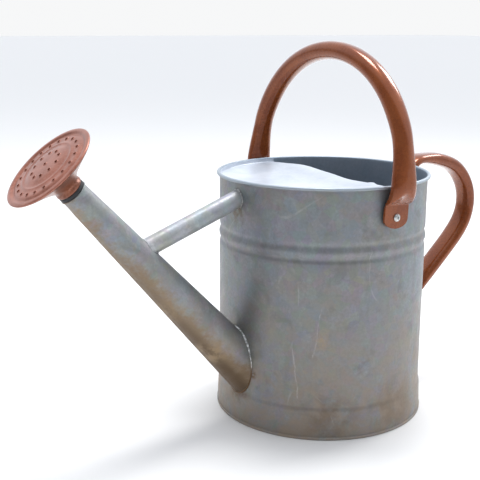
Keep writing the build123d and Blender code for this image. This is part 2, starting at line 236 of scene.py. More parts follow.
def rod(start, end, r0, r1, segments=96):
    """A closed cone or cylinder between two points. Along Y it has no width: its side vector is then zero."""
    axis = (end - start).normalized()
    side = axis.cross(Vector((0, 1, 0))).normalized()
    up = side.cross(axis)
    verts = []
    for centre, r in ((start, r0), (end, r1)):
        verts += [centre + side * r * math.cos(a) + up * r * math.sin(a) for a in turn_angles(segments)]
    faces = grid_faces(2, segments)
    return verts, faces + [tuple(range(segments)), tuple(range(segments, 2 * segments))]


# ---------------------------------------------------------------- materials
class Looks:
    """One material made of nodes, with short names for what they do. Lengths are in millimetres."""

    def __init__(self, name):
        self.material = bpy.data.materials.new(name)
        self.material.use_nodes = True
        self.tree = self.material.node_tree
        self.shader = self.tree.nodes["Principled BSDF"]
        coords = self.tree.nodes.new("ShaderNodeTexCoord")
        scaled = self.tree.nodes.new("ShaderNodeVectorMath")
        scaled.operation = "SCALE"
        scaled.inputs["Scale"].default_value = 1 / MM
        self.tree.links.new(coords.outputs["Object"], scaled.inputs[0])
        self.place = scaled.outputs[0]
        split = self.tree.nodes.new("ShaderNodeSeparateXYZ")
        self.tree.links.new(self.place, split.inputs[0])
        self.x, self.y, self.z = split.outputs

    def put(self, socket, value):
        if isinstance(value, bpy.types.NodeSocket):
            self.tree.links.new(value, socket)
        elif isinstance(value, tuple) and len(value) == 3 and socket.type == "RGBA":
            socket.default_value = (*value, 1.0)
        else:
            socket.default_value = value

    def stretched(self, stretch, turn=(0, 0, 0)):
        node = self.tree.nodes.new("ShaderNodeMapping")
        self.put(node.inputs["Vector"], self.place)
        node.inputs["Scale"].default_value = stretch
        node.inputs["Rotation"].default_value = turn
        return node.outputs[0]

    def noise(self, size, detail=3.0, rough=0.5, place=None, bend=0.0):
        node = self.tree.nodes.new("ShaderNodeTexNoise")
        self.put(node.inputs["Vector"], place or self.place)
        node.inputs["Scale"].default_value = 1 / size
        node.inputs["Detail"].default_value = detail
        node.inputs["Roughness"].default_value = rough
        node.inputs["Distortion"].default_value = bend
        return node.outputs["Fac"]

    def cells(self, size):
        """A random colour for each grain of about this size."""
        node = self.tree.nodes.new("ShaderNodeTexVoronoi")
        self.put(node.inputs["Vector"], self.place)
        node.inputs["Scale"].default_value = 1 / size
        return node.outputs["Color"]

    def span(self, value, low, high, to_low=0.0, to_high=1.0):
        """Takes low to high smoothly onto to_low to to_high, and holds beyond them."""
        node = self.tree.nodes.new("ShaderNodeMapRange")
        node.interpolation_type = "SMOOTHSTEP"
        for socket, given in zip(node.inputs, (value, low, high, to_low, to_high)):
            self.put(socket, given)
        return node.outputs[0]

    def math(self, kind, a, b=0.0):
        node = self.tree.nodes.new("ShaderNodeMath")
        node.operation = kind
        self.put(node.inputs[0], a)
        self.put(node.inputs[1], b)
        return node.outputs[0]

    def add(self, a, b):
        return self.math("ADD", a, b)

    def times(self, *values):
        result = values[0]
        for value in values[1:]:
            result = self.math("MULTIPLY", result, value)
        return result

    def mix(self, amount, a, b, kind="MIX"):
        node = self.tree.nodes.new("ShaderNodeMix")
        node.data_type, node.blend_type = "RGBA", kind
        self.put(node.inputs[0], amount)
        self.put(node.inputs[6], a)
        self.put(node.inputs[7], b)
        return node.outputs[2]

    def spot(self, centre, near, far):
        """1 within near of a point, falling to 0 at far from it."""
        node = self.tree.nodes.new("ShaderNodeVectorMath")
        node.operation = "DISTANCE"
        self.put(node.inputs[0], self.place)
        node.inputs[1].default_value = centre
        return self.span(node.outputs["Value"], near, far, 1.0, 0.0)

    def bump(self, height, depth, strength, under=None):
        node = self.tree.nodes.new("ShaderNodeBump")
        node.inputs["Strength"].default_value = strength
        node.inputs["Distance"].default_value = depth * MM
        self.put(node.inputs["Height"], height)
        if under:
            self.put(node.inputs["Normal"], under)
        return node.outputs[0]

    def set(self, **values):
        for key, value in values.items():
            self.put(self.shader.inputs[key.replace("_", " ")], value)
        return self.material


def spout_tan(m, colour, amount):
    """The spout's browner underside, by the depth below its axis, and darker and browner at its lower edge."""
    depth = m.add(m.times(m.x, -SPOUT_DIR.z), m.times(m.z, SPOUT_DIR.x))
    depth = m.add(depth, SPOUT_TIP.x * SPOUT_DIR.z - SPOUT_TIP.z * SPOUT_DIR.x)
    start = m.math("SUBTRACT", depth, m.span(m.z, 70, 215, 0.0, 5.0))
    start = m.add(start, m.span(m.noise(16, 3, 0.5, bend=0.6), 0.3, 0.7, -3.5, 3.5))
    start = m.add(start, m.span(m.noise(3.0, 3, 0.6), 0.3, 0.7, -2.0, 2.0))
    colour = m.mix(m.times(m.span(start, -3.0, 10.0), amount), colour, (0.270, 0.180, 0.096))
    edge = m.times(m.span(depth, 8.0, 17.0), m.span(m.z, 60, 190, 0.9, 0.5))
    return m.mix(edge, colour, (0.125, 0.080, 0.045))


def long_scratch(m, colour, low_x, low_z, high_x, high_z):
    """A faint, uneven scratch down the near side of the wall."""
    fade, sway = 4.0, 0.8
    off = m.math("SUBTRACT", m.x, m.span(m.z, low_z, high_z, low_x, high_x))
    off = m.math("ABSOLUTE", m.add(off, m.span(m.noise(14, 2, 0.5), 0.3, 0.7, -sway, sway)))
    near_side = m.span(m.y, -40, -30, 1.0, 0.0)
    ends = m.times(m.span(m.z, low_z, low_z + fade), m.span(m.z, high_z - fade, high_z, 1.0, 0.0))
    patchy = m.span(m.noise(5, 3, 0.6), 0.35, 0.6, 0.1, 0.45)
    mark = m.times(m.span(off, 0.2, 0.65, 1.0, 0.0), ends, near_side, patchy)
    return m.mix(mark, colour, (0.44, 0.44, 0.42))


def galvanised(name, tone=1.0, stains=(), tan=0.0, metal=0.55, rim=0.0):
    """Weathered galvanised sheet: faint spangle, blotches, fine scratches and brown stains low down.

    tan is for the spout's underside. rim is for the wall: a painted highlight along the curl, a lighter, bluer
    band at the foot, and two long scratches.
    """
    m = Looks(name)

    def shade(*colour):
        return tuple(c * tone for c in colour)

    blotches = m.noise(40, 4.0, 0.62, bend=0.8)
    patches = m.noise(13, 5.0, 0.68, place=m.stretched((1, 1, 0.75)))
    grain = m.noise(2.2, 3.0, 0.65)
    drips = m.noise(9, 3.0, 0.6, place=m.stretched((1, 1, 0.09)))
    colour = m.mix(m.span(blotches, 0.36, 0.64), shade(0.225, 0.245, 0.270), shade(0.245, 0.240, 0.225))
    colour = m.mix(m.span(patches, 0.42, 0.66, 0.0, 0.55), colour, shade(0.31, 0.325, 0.34))
    smudge = m.span(m.noise(21, 5.0, 0.65, bend=0.5), 0.52, 0.68, 0.0, 0.5)
    colour = m.mix(smudge, colour, shade(0.150, 0.150, 0.148))
    colour = m.mix(m.span(drips, 0.55, 0.8, 0.0, 0.35), colour, shade(0.150, 0.155, 0.160))
    colour = m.mix(0.10, colour, m.cells(7.5), "SOFT_LIGHT")
    colour = m.mix(m.span(grain, 0.3, 0.7, 0.0, 0.35), colour, shade(0.18, 0.19, 0.20))
    low = m.times(m.span(m.z, 0, 165, 0.95, 0.0), m.span(m.noise(26, 5, 0.66, bend=1.0), 0.26, 0.66))
    colour = m.mix(low, colour, shade(0.285, 0.230, 0.180))
    if tan:
        colour = spout_tan(m, colour, tan)
    for centre, near, far, tint, amount in stains:
        patch = m.times(m.spot(centre, near, far), m.span(m.noise(far * 0.4, 4, 0.6), 0.3, 0.62), amount)
        colour = m.mix(patch, colour, tint)
    # thin bright scratches along the level lines of a large noise, broken up so that only some show
    level = m.noise(80, 0.0, 0.0, place=m.stretched((1, 1, 0.6), (0.5, 0.3, 0.2)))
    line = m.math("ABSOLUTE", m.math("SUBTRACT", level, 0.5))
    scratch = m.times(m.span(line, 0.0012, 0.0034, 1.0, 0.0), m.span(m.noise(26, 2, 0.5), 0.52, 0.66))
    colour = m.mix(m.times(scratch, 0.04 if tan else 0.3), colour, shade(0.42, 0.42, 0.41))
    if rim:
        colour = long_scratch(m, colour, -71.6, 35.0, -76.2, 84.0)
        colour = long_scratch(m, colour, -63.4, 73.0, -58.9, 121.0)
        # Painted highlight: a pale blue band along the rolled curl at the rim.
        colour = m.mix(m.span(m.z, RIM_Z - 1.6, RIM_Z + 0.4, 0.0, rim), colour, (0.46, 0.53, 0.60))
        # A lighter, bluer band at the foot.
        colour = m.mix(m.span(m.z, 1.2, 3.2, 0.7, 0.0), colour, (0.50, 0.54, 0.58))
    roughness = m.add(m.span(patches, 0.3, 0.7, 0.42, 0.56), m.span(grain, 0.3, 0.7, -0.05, 0.05))
    relief = m.bump(blotches, 0.9, 0.30)
    relief = m.bump(patches, 0.35, 0.30, relief)
    relief = m.bump(grain, 0.10, 0.28, relief)
    return m.set(Base_Color=colour, Metallic=metal, Roughness=roughness, Normal=relief)


def inside_zinc(name):
    """The drum's inside: cleaner than its outside, lighter and bluer as a painted reflection of the cool room,
    and darker and browner towards the bottom.
    """
    m = Looks(name)
    blotches = m.noise(34, 4.0, 0.6, bend=0.6)
    grain = m.noise(2.6, 3.0, 0.6)
    # Lighter, bluer colours than the outside: partly cleaner zinc, partly a painted reflection of the cool room.
    colour = m.mix(m.span(blotches, 0.36, 0.64), (0.300, 0.385, 0.480), (0.370, 0.445, 0.530))
    colour = m.mix(m.span(grain, 0.35, 0.7, 0.0, 0.3), colour, (0.26, 0.32, 0.39))
    # Darker and browner towards the bottom, in patches.
    darker_low = m.times(m.span(m.z, 20, 150, 0.7, 0.0), m.span(blotches, 0.35, 0.6))
    colour = m.mix(darker_low, colour, (0.24, 0.22, 0.19))
    relief = m.bump(blotches, 0.6, 0.25)
    roughness = m.span(grain, 0.3, 0.7, 0.42, 0.54)
    return m.set(Base_Color=colour, Metallic=0.35, Roughness=roughness, Normal=relief)


def bright_zinc(name):
    """Clean galvanised sheet of the hood, coloured pale and bluish: a painted reflection of the bright room
    above.
    """
    m = Looks(name)
    blotches = m.noise(38, 3.0, 0.5, bend=0.5)
    grain = m.noise(3.0, 3.0, 0.6)
    # Pale, bluish colours: a painted reflection of the bright room above the hood.
    colour = m.mix(m.span(blotches, 0.35, 0.65), (0.53, 0.585, 0.665), (0.64, 0.69, 0.765))
    colour = m.mix(m.span(grain, 0.3, 0.7, 0.0, 0.22), colour, (0.54, 0.59, 0.66))
    relief = m.bump(blotches, 0.8, 0.25)
    relief = m.bump(grain, 0.08, 0.2, relief)
    roughness = m.span(grain, 0.3, 0.7, 0.34, 0.46)
    return m.set(Base_Color=colour, Metallic=0.25, Roughness=roughness, Normal=relief)


def lacquer(name, base, deep, edge):
    """Copper-coloured lacquer over steel, with orange-peel and small scuffs."""
    m = Looks(name)
    cloud = m.noise(26, 2.0, 0.45, bend=0.4)
    mottle = m.noise(4.5, 3.0, 0.5)
    peel = m.noise(1.3, 2.0, 0.5)
    colour = m.mix(m.span(cloud, 0.35, 0.68), base, deep)
    colour = m.mix(m.span(mottle, 0.45, 0.75, 0.0, 0.10), colour, edge)
    scuff = m.times(m.span(m.noise(1.1, 4, 0.7), 0.68, 0.74), m.span(m.noise(17, 2, 0.5), 0.52, 0.62))
    colour = m.mix(m.times(scuff, 0.12), colour, (0.50, 0.32, 0.22))
    relief = m.bump(cloud, 0.08, 0.2)
    relief = m.bump(peel, 0.006, 0.2, relief)
    roughness = m.add(m.span(mottle, 0.3, 0.7, 0.25, 0.29), m.times(scuff, 0.2))
    return m.set(
        Base_Color=colour, Metallic=0.30, Roughness=roughness, Normal=relief,
        Coat_Weight=0.85, Coat_Roughness=0.04, Coat_IOR=1.42, Specular_IOR_Level=0.1,
    )


def copper_plate(name, base, deep):
    """Satin copper plating of the rose."""
    m = Looks(name)
    cloud = m.noise(15, 3.0, 0.55, bend=0.5)
    grain = m.noise(1.8, 3.0, 0.6)
    colour = m.mix(m.span(cloud, 0.32, 0.68), base, deep)
    colour = m.mix(m.span(grain, 0.35, 0.75, 0.0, 0.25), colour, (0.62, 0.34, 0.27))
    relief = m.bump(cloud, 0.35, 0.25)
    relief = m.bump(grain, 0.05, 0.25, relief)
    return m.set(
        Base_Color=colour, Metallic=0.5, Roughness=m.span(grain, 0.3, 0.7, 0.30, 0.42), Normal=relief,
        Coat_Weight=0.2, Coat_Roughness=0.2,
    )


def solder(name, bright, dull, brown_below):
    """Lumpy solder, its crests painted lighter as highlights, and browner on its lower part."""
    m = Looks(name)
    lumps = m.noise(2.4, 3.0, 0.6)
    # Lighter on the lumps' crests: a painted highlight.
    colour = m.mix(m.span(lumps, 0.38, 0.62), dull, bright)
    low = m.span(m.z, brown_below - 16, brown_below, 1.0, 0.0)
    # Browner on the bead's lower part.
    browner_low = m.times(low, m.span(m.noise(6, 3, 0.6), 0.1, 0.4))
    colour = m.mix(browner_low, colour, (0.16, 0.095, 0.05))
    relief = m.bump(lumps, 0.35, 0.5)
    roughness = m.span(lumps, 0.35, 0.65, 0.5, 0.3)
    return m.set(Base_Color=colour, Metallic=0.7, Roughness=roughness, Normal=relief)


def rubber(name):
    """Black rubber with a little dust."""
    m = Looks(name)
    dust = m.noise(4, 4.0, 0.6)
    colour = m.mix(m.span(dust, 0.45, 0.75, 0.0, 0.6), (0.012, 0.013, 0.015), (0.045, 0.045, 0.047))
    roughness = m.span(dust, 0.3, 0.7, 0.5, 0.68)
    return m.set(Base_Color=colour, Roughness=roughness, Normal=m.bump(dust, 0.06, 0.4))


def zinc_plate(name):
    """Plated bolts, nuts and washers."""
    m = Looks(name)
    cloud = m.noise(2.5, 3.0, 0.55)
    colour = m.mix(m.span(cloud, 0.35, 0.7), (0.72, 0.74, 0.74), (0.50, 0.51, 0.49))
    colour = m.mix(m.span(m.noise(1.2, 3, 0.6), 0.62, 0.72, 0.0, 0.5), colour, (0.30, 0.25, 0.19))
    roughness = m.span(cloud, 0.3, 0.7, 0.26, 0.42)
    return m.set(Base_Color=colour, Metallic=0.85, Roughness=roughness, Normal=m.bump(cloud, 0.08, 0.3))


BROWN, TAN, RUST = (0.15, 0.095, 0.05), (0.40, 0.29, 0.17), (0.38, 0.15, 0.05)
# stains: centre, radius of their full strength, radius where they end, colour, strength
WALL_LOOK = galvanised("galvanised_wall", rim=0.7, stains=(
    ((-95, -4, 35), 8, 20, BROWN, 0.75),
    ((-92, -22, 50), 2, 6, BROWN, 0.8),
    ((-80, 52, 24), 3, 20, RUST, 0.45),
    ((-94, 0, 194), 3, 15, BROWN, 0.7),
    ((-58, -75, 90), 2, 10, TAN, 0.5),
    ((-50, -81, 20), 10, 34, BROWN, 0.45),
    ((10, -95, 22), 8, 40, BROWN, 0.4),
))
INSIDE_LOOK = inside_zinc("galvanised_inside")
# Tone 1.2 makes all the spout's colours lighter: painted light, for its brightly lit upper side.
SPOUT_LOOK = galvanised("galvanised_spout", 1.2, tan=0.8, metal=0.42, stains=(
    ((-130, -12, 74), 4, 20, TAN, 0.8),
    ((-112, -12, 44), 6, 30, BROWN, 0.7),
    ((-168, -8, 120), 4, 20, TAN, 0.35),
    ((-243, 0, 213), 3, 12, TAN, 0.35),
))
# Tone 1.7 makes all the brace's colours lighter: painted light, for its brightly lit upper side.
STRUT_LOOK = galvanised("galvanised_brace", 1.7, metal=0.35, stains=(((-97, 0, 197), 2, 12, BROWN, 0.6),))
BASE_LOOK = galvanised("galvanised_base", 1.25)
HOOD_LOOK = bright_zinc("bright_zinc")
HANDLE_LOOK = lacquer("copper_lacquer", (0.250, 0.063, 0.014), (0.205, 0.046, 0.010), (0.360, 0.110, 0.028))
ROSE_LOOK = copper_plate("copper_rose", (0.385, 0.138, 0.088), (0.290, 0.095, 0.056))
FUNNEL_LOOK = copper_plate("copper_funnel", (0.235, 0.068, 0.026), (0.150, 0.042, 0.016))
ROOT_SOLDER = solder("solder_root", (0.82, 0.83, 0.82), (0.28, 0.29, 0.29), 66)
BRACE_SOLDER = solder("solder_brace", (0.45, 0.46, 0.46), (0.20, 0.20, 0.20), 206)
TIP_SOLDER = solder("solder_spout", (0.50, 0.51, 0.52), (0.26, 0.27, 0.28), 164)
RUBBER_LOOK = rubber("black_rubber")
ZINC_LOOK = zinc_plate("zinc_fasteners")


def wear(piece, look):
    """Gives a piece its material."""
    piece.data.materials.clear()
    piece.data.materials.append(look)


# ---------------------------------------------------------------- drum
def wall_outside():
    """The wall's outside, (radius, height), from the foot up to the curl."""
    lower = [(FOOT_R, 0.7), (FOOT_R, 3), (FOOT_R, 6), (FOOT_R - 0.05, 9)]
    lower += [(WALL_R + 1.7, 13), (WALL_R + 1.5, 18), (WALL_R + 1.3, 24)]
    step = smooth_line([(WALL_R + 1.3, 24), (WALL_R + 0.7, 27.2), (WALL_R, 30)], 7, (-0.08, 1), (0, 1))[1:]
    straight = [(WALL_R, z) for z in np.arange(33, 156, 3.0)]
    groove, ridge = WALL_R - 0.8, WALL_R + 0.4
    knots = [(WALL_R, -10), (groove, -6), (ridge, 0), (groove, 6), (WALL_R, 10)]
    band = smooth_line([(r, BAND_Z + z) for r, z in knots], 29, (0, 1), (0, 1))
    upper = [(WALL_R, z) for z in np.arange(BAND_Z + 13, RIM_Z - 4, 3.0)] + [(WALL_R, RIM_Z - 2.2)]
    return [(float(r), float(z)) for r, z in [*lower, *step, *straight, *band, *upper]]


def wall_wave(angle, z):
    """How far the sheet stands out of true, in millimetres."""
    x, y = WALL_R * math.cos(angle), WALL_R * math.sin(angle)
    free = ease(z, 26, 60) * (1 - ease(z, 196, 214)) * (1 - 0.6 * ease(abs(z - BAND_Z), 16, 6))
    return free * (0.34 * rough(x, y, z * 0.7, 70, 3.1) + 0.10 * rough(x, y, z, 24, 8.4))


def build_wall():
    """Outside, curl and inside in one turned skin, with the lapped seam raised and the spout's hole cut."""
    outside = wall_outside()
    inside = [(r - SHEET, z) for r, z in reversed(outside)]
    curl = circle_line((RIM_R, RIM_Z), CURL_R, -128.7, 180, 26)
    heights, radii = [z for r, z in outside], [r for r, z in outside]

    def shift(angle, r, z):
        r += wall_wave(angle, z)
        if SEAM_AT < angle < SEAM_END and 1.5 < z < 218:
            # only the outer skin is raised: it lies outside the middle of the sheet
            middle = np.interp(z, heights, radii) - SHEET / 2
            if r > max(middle - 0.05, WALL_R - 0.35 * SHEET - 0.9):
                r += 0.5
        if z > RIM_Z - 3:
            z += 0.12 * rough(WALL_R * math.cos(angle), WALL_R * math.sin(angle), 0, 40, 5.0)
        return r, z

    edge = math.radians(0.18)
    seam = [SEAM_AT - edge / 4, SEAM_AT + edge, SEAM_END - edge, SEAM_END + edge / 4]
    verts, faces = spin(outside + curl + inside, shift=shift, angles=sorted(turn_angles(360) + seam))
    wall = add_piece("wall_shell", verts, faces, "can", ["body_wall"], 30)
    far, near, bore = 262, 196, SPOUT_TIP_R - 0.3
    start, end = SPOUT_TIP - SPOUT_DIR * far, SPOUT_TIP - SPOUT_DIR * near
    cut(wall, *rod(start, end, bore + TAPER * far, bore + TAPER * near))
    wear(wall, WALL_LOOK)
    wall.data.materials.append(INSIDE_LOOK)
    for face in wall.data.polygons:
        outwards = face.normal.x * face.center.x + face.normal.y * face.center.y
        if outwards < 0 and math.hypot(face.center.x, face.center.y) < (WALL_R - 0.1) * MM:
            face.material_index = 1


def build_base():
    """The pressed bottom disc, with a ring pressed in it and its edge folded round the wall's foot."""
    slack, fold = 0.03, FOOT_R + 0.6
    leg, wall, under = FOOT_R - SHEET - slack, FOOT_R + slack, 0.7 - slack
    low = 6.0
    ring = [(0, 0), (40, 0), (58, 0), (60, 1.2), (66, 1.2), (68, 0), (84, 0)]
    line = [(r, low + z) for r, z in ring] + [(leg - SHEET, low), (leg - SHEET, 0), (fold, 0), (fold, 2.6)]
    line += [(wall, 2.6), (wall, under), (leg, under), (leg, low + SHEET)]
    line += [(r, low + SHEET + z) for r, z in reversed(ring)]
    verts, faces = spin(rounded(line, 0.5, 3), 256, closed=False)
    wear(add_piece("base_disc", verts, faces, "can", ["base_pan"], 50), BASE_LOOK)


# heights of the hood's free edge, across the can, as (y, z)
HOOD_WAVE = smooth_line([
    (-94.4, 217.4), (-77, 217.3), (-62, 217.1), (-47, 217.1), (-21, 216.7), (-2, 218.3), (17, 219.6),
    (42, 221.2), (59, 220.6), (79, 219.2), (94.4, 218.8),
], 120)


def hood_height(x, y):
    """Height of the hood's sheet: dished on the spout side, wavy at its free edge."""
    r = math.hypot(x, y)
    dish = 217.0 - 1.0 * (1 - ease(r, 30, 62)) + 1.3 * ease(r, 78, 93)
    dish += 0.35 * rough(x, y, 0, 45, 2.0)
    edge = float(np.interp(y, HOOD_WAVE[:, 0], HOOD_WAVE[:, 1]))
    bump = 1.5 * math.exp(-(((y + 54.5) / 3.4) ** 2) - ((x - HOOD_BACK) / 9) ** 2)
    near = ease(x, -52, HOOD_BACK) * (1 - 0.7 * ease(r, 84, 94))
    return dish * (1 - near) + edge * near + bump


def build_hood():
    """Two skins of a half disc on a polar grid, with a strip past the centre and a turned-up flange."""
    rim, thick = WALL_R - SHEET, 0.5
    radii = [0.01] + list(np.linspace(4, 84, 21)) + list(np.linspace(86, rim - 2.2, 6))
    radii += [rim - 1.7, rim - 1.2, rim - 0.75, rim - 0.5]
    lift = {len(radii) - 1: 0.95, len(radii) - 2: 0.45, len(radii) - 3: 0.16, len(radii) - 4: 0.04}
    half = [math.radians(a) for a in np.linspace(90, 270, 121)]
    columns = [[(r * math.cos(a), r * math.sin(a)) for r in radii] for a in half]
    strip = 7
    lead, tail = [], []
    for k in range(strip, 0, -1):
        x = HOOD_BACK * k / strip
        for out, sign in ((lead, 1), (tail, -1)):
            row = []
            for r in radii:
                reach = min(x, math.sqrt(max(0.0, radii[-1] ** 2 - r * r)))
                row.append((reach if r < 93 else x * 0.98, sign * r))
            out.append(row)
    columns = lead + columns + list(reversed(tail))
    flange_top = 222.0
    top = []
    for row in columns:
        for i, (x, y) in enumerate(row):
            r = math.hypot(x, y)
            if r > rim - 0.5:
                x, y = x * (rim - 0.5) / r, y * (rim - 0.5) / r
            top.append((x, y, hood_height(x, y) + lift.get(i, 0)))
        x, y, z = top[-1]
        notch = 0.5 * ease(y, 60, 90) * ease(x, -30, 5)
        top += [(x, y, z + (flange_top - notch - z) * h) for h in (0.3, 0.62, 1.0)]
    count, total = len(radii) + 3, len(top)
    low = [Vector(p) - n * thick for p, n in zip(top, sheet_normals(top, len(columns), count))]
    faces = grid_faces(len(columns), count, close_columns=False)
    under = [tuple(i + total for i in reversed(f)) for f in faces]
    last = total - count
    border = list(range(count)) + [j * count + count - 1 for j in range(1, len(columns))]
    border += [last + k for k in range(count - 2, -1, -1)] + list(range(last - count, 0, -count))
    side = [(a, b, b + total, a + total) for a, b in zip(border, border[1:] + border[:1])]
    hood = add_piece("hood_sheet", top + low, faces + under + side, "can", ["splash_hood"], 50)
    wear(hood, HOOD_LOOK)


def sheet_normals(points, rows, columns):
    """Upward or inward normals of a grid of points."""
    p = np.array(points, float).reshape(rows, columns, 3)
    along = np.gradient(p, axis=0)
    across = np.gradient(p, axis=1)
    n = np.cross(across, along)
    size = np.linalg.norm(n, axis=2, keepdims=True)
    n = n / np.maximum(size, 1e-9)
    n = n * np.where(n[..., 2:3] < -0.05, -1.0, 1.0)
    # on the upright flange the normal looks to the axis
    upright = np.abs(n[..., 2]) < 0.5
    inward = -(p[..., :2] * n[..., :2]).sum(axis=2)
    n[upright & (inward < 0)] *= -1
    return [Vector(v) for v in n.reshape(-1, 3)]


# ---------------------------------------------------------------- spout and brace
def in_drum(r):
    """A test for points nearer to the can's axis than r."""
    return lambda p: math.hypot(p.x, p.y) < r


def cone_point(angle, z, extra=0.0):
    """A point on the spout's outside, z along its axis from the tip point."""
    r = SPOUT_TIP_R + extra - TAPER * z
    return TIP @ Vector((r * math.cos(angle), r * math.sin(angle), z))


def spout_root(angle, extra, drum):
    """Where the spout's straight line at an angle meets the drum, as z along the axis."""
    return crossing(lambda z: cone_point(angle, z, extra), in_drum(drum), -300.0, -60.0)


def build_spout():
    """A tapered tube trimmed to the drum's inside, with a soldered lap underneath and a rolled mouth."""
    segments, rows, inner_drum, lip = 192, 70, WALL_R - SHEET, 0.7
    mouth = MOUTH - lip
    roll_r = SPOUT_TIP_R - TAPER * mouth - SHEET / 2 + 0.4
    angles = turn_angles(segments)
    outer, inner, roll = [], [], []
    turns = [math.radians(a) for a in np.linspace(-75, 230, 15)]
    for i in range(rows):
        t = i / (rows - 1)
        for a in angles:
            start = spout_root(a, 0, inner_drum) if i < rows - 1 else 0
            z = start + (mouth - 0.6 - start) * t
            lap = 0.28 * math.exp(-(((a - math.pi) * 12) / 1.6) ** 4) * (1 - ease(z, -12, -3))
            wave = 0.10 * rough(12 * math.cos(a), 12 * math.sin(a), z, 34, 6.0)
            wave *= (1 - ease(z, -30, -5)) * ease(t, 0.05, 0.2)
            outer.append(cone_point(a, z, lap + wave))
    for k in turns:
        for a in angles:
            r = roll_r + lip * math.cos(k)
            roll.append(TIP @ Vector((r * math.cos(a), r * math.sin(a), mouth + lip * math.sin(k))))
    for i in range(rows):
        t = 1 - i / (rows - 1)
        for a in angles:
            start = spout_root(a, -SHEET, inner_drum) if i else 0
            inner.append(cone_point(a, start + (mouth - 0.6 - start) * t, -SHEET))
    verts = outer + roll + inner
    faces = grid_faces(len(verts) // segments, segments, close_rows=True)
    wear(add_piece("spout_body", verts, faces, "can", ["spout_tube"], 40), SPOUT_LOOK)


def bead(name, line, outward, sizes, node, look, lumps, seed):
    """A lumpy bead of solder along a closed line; outward(i) points away from the joint."""
    count, sides, flat = len(line), 14, 0.75
    verts = []
    for i, p in enumerate(line):
        along = (line[(i + 1) % count] - line[i - 1]).normalized()
        up = outward(i).normalized()
        up = (up - along * up.dot(along)).normalized()
        side = along.cross(up)
        for a in turn_angles(sides):
            bump = 1 + lumps * rough(p.x + 3 * math.cos(a), p.y + 3 * math.sin(a), p.z, 2.6, seed)
            bump *= 1 + 0.25 * rough(p.x, p.y, p.z, 7.0, seed + 4)
            r = sizes(i) * bump
            verts.append(p + up * (r * flat * math.sin(a)) + side * (r * math.cos(a)))
    faces = grid_faces(count, sides, close_rows=True)
    wear(add_piece(name, verts, faces, "can", [node], 60), look)


def build_root_bead():
    """Solder round the spout where it meets the drum."""
    angles = turn_angles(360)
    line = [cone_point(a, spout_root(a, 0.25, WALL_R + 0.2), 0.25) for a in angles]

    def outward(i):
        p = line[i]
        drum = Vector((p.x, p.y, 0)).normalized()
        spoke = p - SPOUT_TIP
        spoke = (spoke - SPOUT_DIR * spoke.dot(SPOUT_DIR)).normalized()
        return drum + spoke

    def size(i):
        """Fat at the top of the joint, thin down its sides."""
        top = math.cos(angles[i])
        return 0.5 + 1.2 * ease(top, 0.3, 0.85) + 0.2 * ease(-top, 0.1, 0.9)

    bead("root_bead", line, outward, size, "spout_solder", ROOT_SOLDER, 0.55, 2.0)


STRUT_LEN = (STRUT_END - STRUT_START).length
STRUT_DIR = (STRUT_END - STRUT_START).normalized()
STRUT_SIDE = Vector((0, 1, 0))
STRUT_UP = STRUT_DIR.cross(STRUT_SIDE)


def strut_point(angle, z, r):
    """A point of the brace, z along its axis from the wall."""
    return STRUT_START + STRUT_DIR * z + STRUT_UP * (r * math.cos(angle)) + STRUT_SIDE * (r * math.sin(angle))


def off_spout(p):
    """Distance of a point outside the spout's surface."""
    q = p - SPOUT_TIP
    z = q.dot(SPOUT_DIR)
    return (q - SPOUT_DIR * z).length - (SPOUT_TIP_R - TAPER * z)


def strut_ends(angle, r, lift=0.0):
    """Where the brace's straight line at an angle leaves the drum and meets the spout."""
    def point(z):
        return strut_point(angle, z, r)

    start = crossing(point, in_drum(WALL_R + lift), -15.0, 40.0)
    return start, crossing(point, lambda p: off_spout(p) > lift, 40.0, STRUT_LEN + 5)


def build_strut():
    """The brace's tube, trimmed to the drum and to the spout."""
    segments, rows, inner_r = 96, 40, STRUT_R - 0.8
    angles = turn_angles(segments)
    ends = [strut_ends(a, STRUT_R) for a in angles]
    inner_ends = [strut_ends(a, inner_r) for a in angles]
    verts = []
    for i in range(rows):
        t = i / (rows - 1)
        for a, (low, high) in zip(angles, ends):
            z = low + (high - low) * t
            wave = 0.08 * rough(8 * math.cos(a), 8 * math.sin(a), z, 18, 7.0) * math.sin(math.pi * t)
            verts.append(strut_point(a, z, STRUT_R + wave))
    for i in range(rows):
        t = 1 - i / (rows - 1)
        for a, (low, high) in zip(angles, inner_ends):
            verts.append(strut_point(a, low + (high - low) * t, inner_r))
    faces = grid_faces(2 * rows, segments, close_rows=True)
    wear(add_piece("brace_tube", verts, faces, "can", ["strut_tube"], 40), STRUT_LOOK)


def build_strut_beads():
    """Solder at both ends of the brace."""
    angles, bead_r = turn_angles(160), STRUT_R + 0.2
    for name, which, node, look, seed in (
        ("brace_bead_wall", 0, "strut_body_solder", BRACE_SOLDER, 3.0),
        ("brace_bead_spout", 1, "strut_spout_solder", TIP_SOLDER, 5.0),
    ):
        line = [strut_point(a, strut_ends(a, bead_r, 0.15)[which], bead_r) for a in angles]
        face = -1 if which else 1

        def outward(i):
            spoke = STRUT_UP * math.cos(angles[i]) + STRUT_SIDE * math.sin(angles[i])
            return spoke + STRUT_DIR * face

        bead(name, line, outward, lambda i: 0.95, node, look, 0.4, seed)


# ---------------------------------------------------------------- handles
def soft_min(a, b, k):
    """The smaller of two values, rounded over where they are within k of each other."""
    h = max(0.0, k - abs(a - b)) / k
    return min(a, b) - h * h * k / 4


def tube_end(z, thin=7.2):
    """Half thickness and half width of the tube at a height above its bolt, before it is pinched."""
    thick = thin + (8.05 - thin) * ease(z, 36, 90)
    wide = TAB_HALF_W - 1.1 - 0.6 * ease(z, 6, 16) - 3.5 * ease(z, 19, 66)
    if z < 0:
        wide *= (1 - (min(1.0, max(0.0, -z / TAB_LOW))) ** 2.8) ** 0.6
    return thick, max(0.4, wide)


